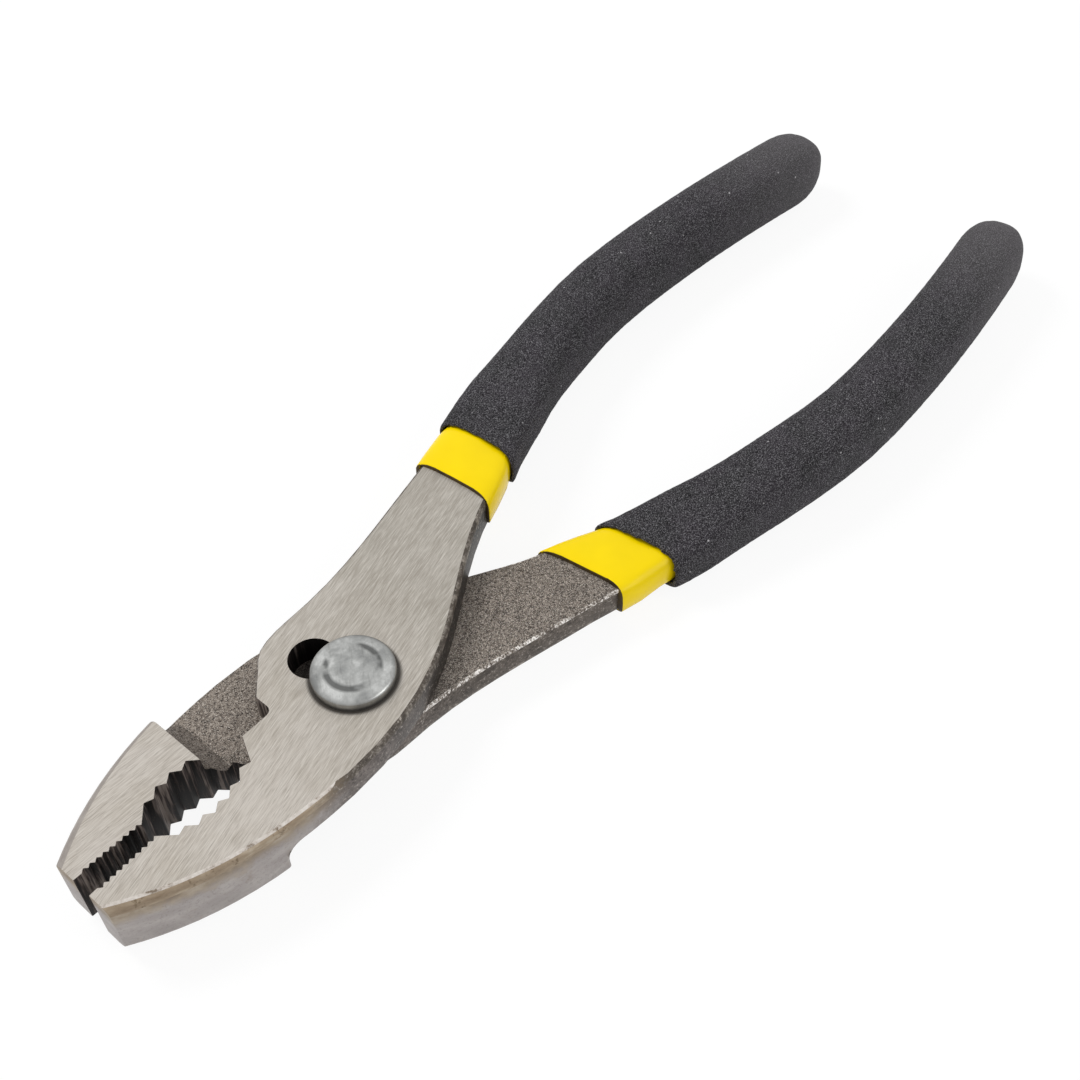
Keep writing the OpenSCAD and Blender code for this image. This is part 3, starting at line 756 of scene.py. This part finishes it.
# Its pits, whose radius is a share of their spacing, and its soft grain
PIT_SPACING = 0.55 * MM
PIT_SHARE = 0.45
PIT_DEPTH = 0.05 * MM
GRAIN_SIZE = 0.9 * MM
GRAIN_HEIGHT = 0.04 * MM
GRAIN_LEVEL = 0.4


def foam_rise(p):
    """How far the foam stands proud at a place, with its pits and its grain."""
    nearest = noise.voronoi(Vector(p / PIT_SPACING))[0][0]
    grain = noise.noise(Vector(p / GRAIN_SIZE))
    return -PIT_DEPTH * max(0.0, 1 - nearest / PIT_SHARE) + GRAIN_HEIGHT * (grain - GRAIN_LEVEL)


def sleeve(node, name, body, m):
    """The outer sleeve: remeshed finely, smoothed, then pitted and grained."""
    piece = copied(node, name)
    modify(piece, "REMESH", mode="VOXEL", voxel_size=VOXEL)
    modify(piece, "SMOOTH", factor=SMOOTH_SHARE, iterations=SMOOTH_STEPS)
    mesh = piece.data
    mesh.materials.append(m)
    places = np.zeros(len(mesh.vertices) * 3)
    normals = np.zeros(len(mesh.vertices) * 3)
    mesh.vertices.foreach_get("co", places)
    mesh.vertices.foreach_get("normal", normals)
    places = places.reshape(-1, 3)
    rise = np.array([foam_rise(p) for p in places])
    places += normals.reshape(-1, 3) * rise[:, None]
    mesh.vertices.foreach_set("co", places.ravel())
    mesh.shade_smooth()
    mesh.update()
    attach(piece, body)
    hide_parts(node)


# Stage

# The floor: half its side, how far it lies under the tool, and its glow in what is seen of it
FLOOR_HALF = 3.0
FLOOR_DROP = 0.2 * MM
FLOOR_GREY = 0.9
FLOOR_GLOW = 1.03
FLOOR_GLOW_SHARE = 0.88

# The world's brightness as light, and as it is seen. What shines shows a share of the seen one
# that grows with height.
WORLD_LIGHT = 0.5
WORLD_SEEN = 1.0
SHINE_RISE = (0.25, 0.8)
SHINE_LOW = 0.45
SHINE_GROWTH = 0.45

# Where the lamps point
LAMP_AIM = Vector((0.03, 0, 0))


def floor():
    """A white floor that keeps a faint shadow."""
    h = FLOOR_HALF
    mesh = bpy.data.meshes.new("floor")
    mesh.from_pydata([(-h, -h, 0), (h, -h, 0), (h, h, 0), (-h, h, 0)], [], [(0, 1, 2, 3)])
    slab = bpy.data.objects.new("floor", mesh)
    slab.location.z = -FLOOR_DROP
    bpy.context.scene.collection.objects.link(slab)
    n = Finish("floor_white")
    m = n.filled((FLOOR_GREY, FLOOR_GREY, FLOOR_GREY, 1), rough=0.9, specular=0.0)
    glow = n.add("ShaderNodeEmission")
    glow.inputs["Color"].default_value = (1, 1, 1, 1)
    glow.inputs["Strength"].default_value = FLOOR_GLOW
    path = n.add("ShaderNodeLightPath").outputs
    seen = n.math("MAXIMUM", path["Is Camera Ray"], path["Is Glossy Ray"])
    seen = n.math("MAXIMUM", seen, path["Is Transmission Ray"])
    blend = n.add("ShaderNodeMixShader")
    n.link(n.times(seen, FLOOR_GLOW_SHARE), blend.inputs[0])
    n.link(n.shader.outputs[0], blend.inputs[1])
    n.link(glow.outputs[0], blend.inputs[2])
    n.link(blend.outputs[0], n.tree.nodes["Material Output"].inputs["Surface"])
    mesh.materials.append(m)


def world():
    """A pale world: white where it is seen, dimmer as light and in what shines."""
    studio = bpy.data.worlds.new("studio")
    bpy.context.scene.world = studio
    studio.use_nodes = True
    n = Nodes(studio.node_tree)
    path = n.add("ShaderNodeLightPath").outputs
    seen = n.math("MAXIMUM", path["Is Camera Ray"], path["Is Transmission Ray"])
    shine = n.times(n.between(n.axis("Z"), *SHINE_RISE), SHINE_GROWTH)
    shine = n.math("ADD", shine, SHINE_LOW)
    seen = n.math("MAXIMUM", seen, n.times(path["Is Glossy Ray"], shine))
    level = n.add("ShaderNodeMix")
    level.inputs["A"].default_value = WORLD_LIGHT
    level.inputs["B"].default_value = WORLD_SEEN
    n.link(seen, level.inputs["Factor"])
    background = n.tree.nodes["Background"]
    background.inputs["Color"].default_value = (1, 1, 1, 1)
    n.link(level.outputs["Result"], background.inputs["Strength"])


def lamp(name, place, size, power, mirrored):
    """A soft lamp over the tool, which shows in what shines only where it is mirrored."""
    data = bpy.data.lights.new(name, "AREA")
    data.shape = "RECTANGLE"
    data.size, data.size_y = size
    data.energy = power
    light = bpy.data.objects.new(name, data)
    light.location = place
    light.visible_glossy = mirrored
    light.rotation_mode = "QUATERNION"
    light.rotation_quaternion = (LAMP_AIM - Vector(place)).to_track_quat("-Z", "Y")
    bpy.context.scene.collection.objects.link(light)


def camera():
    """The photo's camera: its view from its azimuth, elevation and roll about the target."""
    data = bpy.data.cameras.new("camera")
    data.sensor_fit = "HORIZONTAL"
    data.sensor_width = SENSOR_MM
    data.lens = FOCAL_PX / IMAGE_PX * SENSOR_MM
    data.clip_start, data.clip_end = CLIP
    cam = bpy.data.objects.new("camera", data)
    a, e = AZIMUTH, ELEVATION
    back = Vector((math.sin(a) * math.cos(e), -math.cos(a) * math.cos(e), math.sin(e)))
    right = Vector((math.cos(a), math.sin(a), 0))
    up = back.cross(right)
    c, s = math.cos(ROLL), math.sin(ROLL)
    right, up = right * c + up * s, up * c - right * s
    turn = Matrix((right, up, back)).transposed()
    cam.matrix_world = Matrix.Translation(TARGET + back * DISTANCE) @ turn.to_4x4()
    bpy.context.scene.collection.objects.link(cam)
    bpy.context.scene.camera = cam


bpy.context.scene.view_settings.view_transform = "Standard"
camera()
floor()
world()
lamp("key", place=(-0.08, 0.5, 0.65), size=(0.3, 0.25), power=3.5, mirrored=False)
lamp("fill", place=(0.3, -0.6, 0.55), size=(0.6, 0.4), power=1.6, mirrored=True)

# The darkest and palest tone of each neck's sides, the upper's darkened as painted shade where it
# lies against the lower lever, and how tan each jaw's bevels are
NECK_SIDE_TONES_AND_SHADE = {"upper": (rgb(24, 20, 16), rgb(52, 46, 39)),
              "lower": (rgb(66, 58, 51), rgb(104, 95, 87))}
BEVEL_STAINED = {"upper": 1.0, "lower": 0.12}
# The cove at the foot of the step is darkened as painted shade
COVE_SHADE = 0.5

blasted = blasted_steel("blasted_steel", shade=0.0)
cove = blasted_steel("cove_steel", shade=COVE_SHADE)
shared = [tooth_steel(), worn_edge(), rubbed_rim(), cove]
dip = yellow_dip()
gap_shadow = gap_shadow_line()
foam = black_foam()
polished = polished_steel()
plated = nut_steel()

for side in ("upper", "lower"):
    own = [ground_steel("ground_" + side, GRIND_TURN[side]),
           blasted,
           side_steel("side_" + side, *NECK_SIDE_TONES_AND_SHADE[side]),
           bevel_steel("bevel_" + side, BEVEL_STAINED[side])]
    lever(side + "_lever", side + "_forging", side, own + shared)
bolt("pivot_bolt", "bolt", "pivot", polished, BOLT_SMOOTH)
bolt("pivot_nut", "nut", "pivot", plated, NUT_SMOOTH)
for side in ("upper", "lower"):
    liner(side + "_grip_liner", side + "_dip", side, dip, gap_shadow)
    sleeve(side + "_grip_sleeve", side + "_foam", side, foam)
